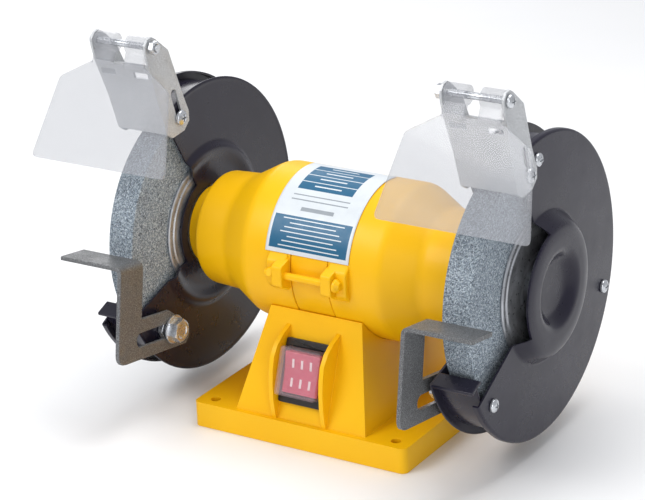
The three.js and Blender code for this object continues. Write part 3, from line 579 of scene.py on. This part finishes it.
def outer_flange(side, sign):
    start = WHEEL["outer"] + GAP
    corners = [
        (start, WHEEL["bore"]), (start, FLANGE_R), (start + 0.9, FLANGE_R), (start + 1.6, 39.6),
        (start + 1.7, 38.2), (start + 1.0, 37.6), (start + 1.0, 36.4), (start + 2.0, 35.6),
        (start + 2.1, 31.0), (start + 1.5, 30.2), (start + 1.5, 20.0), (start + 2.4, 18.0),
        (start + 2.4, WHEEL["bore"]),
    ]
    profile = rounded(corners, 0.3, 3)
    profile.append(profile[0])
    obj = turned(f"{side}_outer_flange_rings", mirror_x(profile, sign), MATERIALS["flange_steel"])
    place(obj, "spindle", (f"{side}_outer_flange",))


# ------------------------------------------------------------------ guards

def opening_wedge(side, sign, opening, x0, x1):
    far = 130.0
    outline = [
        polar(opening["hub"], opening["low_hub"]), polar(GUARD["radius"], opening["low_rim"]),
        polar(far, opening["low_rim"]), polar(far, 20), polar(far, opening["high_rim"]),
        polar(GUARD["radius"], opening["high_rim"]), polar(opening["hub"], opening["high_hub"]),
    ]
    steps = 24
    for i in range(1, steps):
        sweep = opening["low_hub"] - opening["high_hub"]
        outline.append(polar(opening["hub"], opening["high_hub"] + sweep * i / steps))
    low, high = sorted((x0 * sign, x1 * sign))
    return slab(f"{side}_wedge", outline, low, high, MATERIALS["cutter"])


def inner_guard(side, sign):
    """The pressed plate beside the motor, with a raised hub, a beaded rim and the band."""
    black = MATERIALS["black_paint"]
    x, sheet = GUARD["plate"], GUARD["sheet"]
    end = x + sheet
    rim, hub = GUARD["radius"], GUARD["hub_hole"]
    corners = [
        (x, hub), (x, 39.0), (x - 2.4, 45.0), (x - 2.4, 48.0), (x, 51.0), (x, rim - 2.8),
        (x - 0.2, rim - 1.4), (x + 0.1, rim), (x + 1.3, rim), (end + 0.2, rim - 1.4), (end, rim - 2.8),
        (end, 50.5), (end - 2.4, 47.6), (end - 2.4, 45.4), (end, 39.4), (end, hub),
    ]
    radii = [0.2, 3.0, 1.6, 1.6, 2.4, 0.8, 0.6, 0.6, 0.6, 0.6, 0.8, 2.4, 1.4, 1.4, 3.0, 0.2]
    profile = rounded(corners, radii, 5)
    profile.append(profile[0])
    plate = turned(f"{side}_guard_plate", mirror_x(profile, sign), black, segments=160)
    carve(plate, [opening_wedge(side, sign, PLATE_OPENING, x - 5, x + 5)])
    shade(plate, 30)
    place(plate, "frame", (f"{side}_inner_guard",))
    band_end = GUARD["face"] - sheet - GAP
    band_profile = rounded([
        (end - 0.3, GUARD["band"] - sheet), (end - 0.3, GUARD["band"]), (band_end, GUARD["band"]),
        (band_end, GUARD["band"] - sheet),
    ], [0, 0, 0.5, 0.5], 3)
    band_profile.append(band_profile[0])
    band = turned(f"{side}_guard_band", mirror_x(band_profile, sign), black, segments=160)
    carve(band, [opening_wedge(side, sign, PLATE_OPENING, end - 3, band_end + 4)])
    shade(band, 30)
    place(band, "frame")
    guard_lip(side, sign, end - 0.2, band_end)


def guard_lip(side, sign, x0, x1):
    """The folded stiffener across the band's lower end."""
    start = PLATE_OPENING["low_rim"]
    outline = rounded([
        polar(79.0, start), polar(84.0, start), polar(89.8, start), polar(89.9, start - 1.4),
        polar(84.5, start - 1.3), polar(79.0, start - 1.5),
    ], 0.8, 4)
    low, high = sorted((x0 * sign, x1 * sign))
    lip = slab(f"{side}_guard_lip", outline, low, high, MATERIALS["black_paint"])
    bevelled(lip, 0.3, 2, 60)
    place(lip, "frame")


def outer_cover(side, sign):
    """The pressed cover: a rounded rim, a raised ring round the hub and a dished middle."""
    x, sheet, rim = GUARD["face"], GUARD["sheet"], GUARD["radius"]
    outside = [
        (x - 4.0, rim), (x, rim), (x, 44.4), (x + 8.6, 38.4), (x + 9.8, 32.0), (x + 9.8, 22.4),
        (x + 4.0, 16.5), (x + 3.8, 0.0),
    ]
    radii = [0, 3.2, 1.2, 4.0, 4.0, 3.4, 5.0, 0]
    curve = rounded(outside, radii, 7, closed=False)
    inside = [(px - sheet, pr) for px, pr in rounded(outside[1:], radii[1:], 7, closed=False)]
    inside = [(px, min(pr, rim - sheet)) for px, pr in inside]
    profile = curve + list(reversed(inside)) + [(x - 4.0, rim - sheet), curve[0]]
    cover = turned(f"{side}_cover_shell", mirror_x(profile, sign), MATERIALS["black_paint"], segments=160)
    carve(cover, [opening_wedge(side, sign, COVER_OPENING, x - 8, x + 14)])
    shade(cover, 30)
    place(cover, "frame", (f"{side}_outer_cover",))


# ------------------------------------------------------------------ fasteners

def cross_slot(name, sign, x, y, z, size):
    """Two crossed blades that cut a cross recess."""
    low, high = sorted(((x - 1.5) * sign, (x + 2.0) * sign))
    half, blade = size, size * 0.22
    first = block(f"{name}_a", (low, y - half, z - blade), (high, y + half, z + blade), MATERIALS["cutter"])
    second = block(f"{name}_b", (low, y - blade, z - half), (high, y + blade, z + half), MATERIALS["cutter"])
    return [first, second]


def pan_screw(name, node, body, sign, seat, y, z, head, tip, shank=1.6):
    """A pan-head screw with a cross recess, its head outward from the seat."""
    height = SCREW_HEAD_HEIGHT
    outward = 1 if seat >= tip else -1
    dome = rounded([
        (seat, 0), (seat, head), (seat + outward * height * 0.55, head),
        (seat + outward * height, head * 0.45), (seat + outward * height, 0),
    ], [0, 0.2, head * 0.35, head * 0.4, 0], 5, closed=False)
    screw = turned(name, mirror_x(dome, sign), MATERIALS["bright_steel"], y, z, 32)
    cap_x = seat + outward * height
    blades = cross_slot(name, sign, cap_x, y, z, head * 0.5)
    carve(screw, blades)
    shade(screw, 35)
    place(screw, body, (node,))
    stem = turned(f"{name}_shank", mirror_x([(tip, 0), (tip, shank), (seat, shank), (seat, 0)], sign),
                  MATERIALS["bright_steel"], y, z, 20)
    place(stem, body)


def washer_bolt(side, sign):
    """The rest's hexagon bolt: chamfered head with a dished top, washer and threaded stem."""
    y, z, seat = REST_BOLT["y"], REST_BOLT["z"], REST_BOLT["seat"]
    steel = MATERIALS["bright_steel"]
    rim, face = REST_BOLT["washer_radius"], seat - REST_BOLT["washer"]
    corners = [(seat, 0), (seat, rim), (face, rim), (face, 0)]
    washer_profile = rounded(corners, [0, 0.4, 0.5, 0], 3, closed=False)
    washer = turned(f"{side}_rest_washer", mirror_x(washer_profile, sign), steel, y, z, 64)
    place(washer, f"{side}_rest_clamp", (f"{side}_rest_bolt",))
    top = seat - REST_BOLT["head"]
    hexagon = []
    for k in range(6):
        angle = math.radians(60 * k + 12)
        hexagon.append((y + 7.4 * math.cos(angle), z + 7.4 * math.sin(angle)))
    low, high = sorted((top * sign, (seat - 1.4) * sign))
    head = slab(f"{side}_rest_bolt_head", hexagon, low, high, steel)
    shape = rounded([
        (seat - 1.4, 0), (seat - 1.4, 9.0), (top + 1.1, 7.6), (top, 6.0), (top, 4.6), (top + 0.9, 3.8),
        (top + 0.9, 0),
    ], [0, 0, 0.4, 0.5, 0.4, 0.4, 0], 3, closed=False)
    limit = turned(f"{side}_limit", mirror_x(shape, sign), steel, y, z, 48)
    carve(head, [limit], "INTERSECT")
    bevelled(head, 0.25, 2, 35)
    place(head, f"{side}_rest_clamp")
    thread = [(seat - 0.5, 0)]
    x = seat - 0.5
    while x < 100.2:
        thread += [(x, 3.4), (x + 0.5, 3.9)]
        x += 1.0
    thread += [(100.6, 3.4), (100.6, 0)]
    stem = turned(f"{side}_rest_bolt_thread", mirror_x(thread, sign), steel, y, z, 32, smooth=20)
    place(stem, f"{side}_rest_clamp")


def fasteners(side, sign):
    steel = MATERIALS["bright_steel"]
    face = GUARD["face"] + GAP
    for index, angle in enumerate(COVER_SCREW["angles"], start=1):
        y, z = polar(COVER_SCREW["circle"], angle)
        pan_screw(f"{side}_cover_screw_{index}_head", f"{side}_cover_screw_{index}", "frame", sign,
                  face, y, z, COVER_SCREW["head"], COVER_SCREW["tip"])
    bolt = BRACKET_SCREW
    pan_screw(f"{side}_bracket_screw_in_head", f"{side}_bracket_screw_inner", "frame", sign,
              bolt["inner_seat"], bolt["y"], bolt["z"], bolt["head"], 102.1, bolt["shank"])
    pan_screw(f"{side}_bracket_screw_out_head", f"{side}_bracket_screw_outer", "frame", sign,
              bolt["outer_seat"], bolt["y"], bolt["z"], bolt["head"], 124.3, bolt["shank"])
    collar_profile = rounded([(face, 2.2), (face, 3.9), (131.0, 3.9), (131.0, 2.2)], [0, 0.3, 0.3, 0], 3)
    collar_profile.append(collar_profile[0])
    collar = turned(f"{side}_bracket_collar", mirror_x(collar_profile, sign), steel, bolt["y"], bolt["z"], 32)
    place(collar, "frame")
    pan_screw(f"{side}_pivot_head", f"{side}_pivot_bolt", f"{side}_bracket", sign,
              PIVOT["seat"], PIVOT["y"], PIVOT["z"], PIVOT["head"], PIVOT["tip"], PIVOT["shank"])
    dressed(f"{side}_pivot_nut", f"{side}_bracket", steel, 0.35, 2)
    dressed(f"{side}_rest_weld_nut", "frame", steel, 0.4, 2)
    dressed(f"{side}_arbor_nut", "spindle", steel, 0.5, 2)


# ------------------------------------------------------------------ rests, brackets, shields

def rest_and_shield(side):
    dressed(f"{side}_tool_rest", f"{side}_rest", MATERIALS["dull_zinc"], 0.55, 3)
    dressed(f"{side}_shield_bracket", f"{side}_bracket", MATERIALS["zinc_plate"], 0.3, 2)
    dressed(f"{side}_eye_shield", f"{side}_shield", MATERIALS["clear_plastic"], 0.35, 2)


# ------------------------------------------------------------------ base and switch

def base():
    dressed("base_casting", "frame", MATERIALS["yellow_paint"], 0.7, 3)
    dressed("cable_gland", "frame", MATERIALS["black_plastic"], 0.35, 2)
    dressed("bottom_cover", "frame", MATERIALS["zinc_plate"], 0.2, 2)


# The rocker lies on the pedestal's sloping front face, whose slope and middle these give.
FACE = {"angle": 69.36, "y": -53.14, "z": 42.84}
ROCKER = {"tilt": 6.0, "pivot": 1.0, "half": 12.2, "low": 6.2, "rise": 1.0}


def on_rocker(along, lift):
    """A (y, z) point above the rocker's dished surface, found along its slope."""
    tilt, slope = math.radians(ROCKER["tilt"]), math.radians(FACE["angle"])
    height = ROCKER["low"] + ROCKER["rise"] * (along / ROCKER["half"]) ** 2 + lift - ROCKER["pivot"]
    y = along * math.cos(tilt) - height * math.sin(tilt)
    z = along * math.sin(tilt) + height * math.cos(tilt) + ROCKER["pivot"]
    return (
        y * math.cos(slope) - z * math.sin(slope) + FACE["y"],
        y * math.sin(slope) + z * math.cos(slope) + FACE["z"],
    )


def rocker_marks():
    """Two rows of plain pale dashes moulded on the rocker."""
    for row, middle in (("low", -5.6), ("high", 5.6)):
        for column, x in enumerate((-6.0, 0.0, 6.0)):
            steps = [middle - 2.6 + 5.2 * k / 6 for k in range(7)]
            outline = [on_rocker(u, -0.1) for u in steps] + [on_rocker(u, 0.25) for u in reversed(steps)]
            mark = slab(f"rocker_mark_{row}_{column}", outline, x - 0.75, x + 0.75, MATERIALS["pale_marks"])
            bevelled(mark, 0.1, 2, 50)
            place(mark, "rocker")


def switch():
    rocker_marks()
    dressed("switch_body", "frame", MATERIALS["black_plastic"], 0.4, 3)
    dressed("switch_rocker", "rocker", MATERIALS["red_plastic"], 0.6, 3)
    dressed("switch_boot", "frame", MATERIALS["soft_boot"], 0.4, 3)


def through_bolts():
    for place_name in ("front", "rear"):
        for part in ("bolt", "nut"):
            node = f"through_{part}_{place_name}"
            dressed(node, "frame", MATERIALS["yellow_paint"], 0.35, 2)


# ------------------------------------------------------------------ carried-over CAD nodes

def carry_over():
    plain = {
        "capacitor": "black_plastic", "saddle_screw_left": "zinc_plate", "saddle_screw_right": "zinc_plate",
        "stator_core": "core_steel", "right_stator_coil": "winding", "left_stator_coil": "winding",
        "right_bearing": "bright_steel", "left_bearing": "bright_steel", "spindle_shaft": "bright_steel",
        "rotor_core": "core_steel",
    }
    for node, material in plain.items():
        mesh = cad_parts[node].data
        mesh.materials.clear()
        mesh.materials.append(MATERIALS[material])


# ------------------------------------------------------------------ camera, light and floor

CAMERA = {"angles": (32.642, 21.563, -2.4), "lens": 139.5, "sensor": 36.0, "place": (0.7232, -1.16, 0.6418)}


def camera():
    azimuth, elevation, roll = (math.radians(angle) for angle in CAMERA["angles"])
    level = math.cos(elevation)
    back = Vector((math.sin(azimuth) * level, -math.cos(azimuth) * level, math.sin(elevation)))
    right = Vector((0, 0, 1)).cross(back).normalized()
    up = back.cross(right)
    right_rolled = right * math.cos(roll) + up * math.sin(roll)
    up_rolled = up * math.cos(roll) - right * math.sin(roll)
    data = bpy.data.cameras.new("camera")
    data.sensor_width = CAMERA["sensor"]
    data.lens = CAMERA["lens"]
    data.clip_start = 0.05
    obj = bpy.data.objects.new("camera", data)
    basis = Matrix((right_rolled, up_rolled, back)).transposed().to_4x4()
    basis.translation = Vector(CAMERA["place"])
    obj.matrix_world = basis
    bpy.context.scene.collection.objects.link(obj)
    bpy.context.scene.camera = obj


def area_light(name, location, target, size, power):
    data = bpy.data.lights.new(name, "AREA")
    data.shape = "RECTANGLE"
    data.size, data.size_y = size
    data.energy = power
    obj = bpy.data.objects.new(name, data)
    obj.location = location
    direction = Vector(target) - Vector(location)
    obj.rotation_euler = direction.to_track_quat("-Z", "Y").to_euler()
    bpy.context.scene.collection.objects.link(obj)


def lights():
    area_light("key", (-0.55, -0.9, 1.05), (0, 0, 0.1), (0.6, 0.6), 8)
    area_light("fill", (1.05, -1.1, 0.5), (0, 0, 0.1), (0.5, 0.8), 4.6)
    area_light("top", (0.1, 0.25, 1.2), (0, 0, 0.1), (0.9, 0.7), 9)
    area_light("rim", (-0.9, 0.8, 0.6), (0, 0, 0.12), (0.5, 0.8), 3)
    world = bpy.data.worlds.new("studio")
    world.use_nodes = True
    background = world.node_tree.nodes["Background"]
    background.inputs["Color"].default_value = (0.93, 0.95, 1.0, 1)
    background.inputs["Strength"].default_value = 0.5
    bpy.context.scene.world = world
    bpy.context.scene.view_settings.view_transform = "Standard"


def floor():
    shader = Shader("pale_floor", (0.9, 0.9, 0.9), 0.6)
    shader.color(shader.ramp(shader.noise(3, 3, 0.5), [(0.3, (0.88, 0.88, 0.88)), (0.7, (0.92, 0.92, 0.92))]))
    bm = bmesh.new()
    bmesh.ops.create_grid(bm, x_segments=1, y_segments=1, size=6.0)
    obj = new_object("floor", bm, shader.material)
    obj.location.z = -0.0001
    obj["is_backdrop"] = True


# ------------------------------------------------------------------ the whole scene

camera()
lights()
floor()
carry_over()
base()
switch()
stator_band()
through_bolts()
rating_label()
for side_name, side_sign in SIDES:
    end_bell(side_name, side_sign)
    wheel(side_name, side_sign)
    inner_flange(side_name, side_sign)
    outer_flange(side_name, side_sign)
    inner_guard(side_name, side_sign)
    outer_cover(side_name, side_sign)
    washer_bolt(side_name, side_sign)
    fasteners(side_name, side_sign)
    rest_and_shield(side_name)


def plain(value):
    """Vectors and tuples as plain lists of numbers."""
    if isinstance(value, (int, float)):
        return float(value)
    return [plain(item) for item in value]


{"cad": plain(CAD_BOX), "visual": plain(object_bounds())}
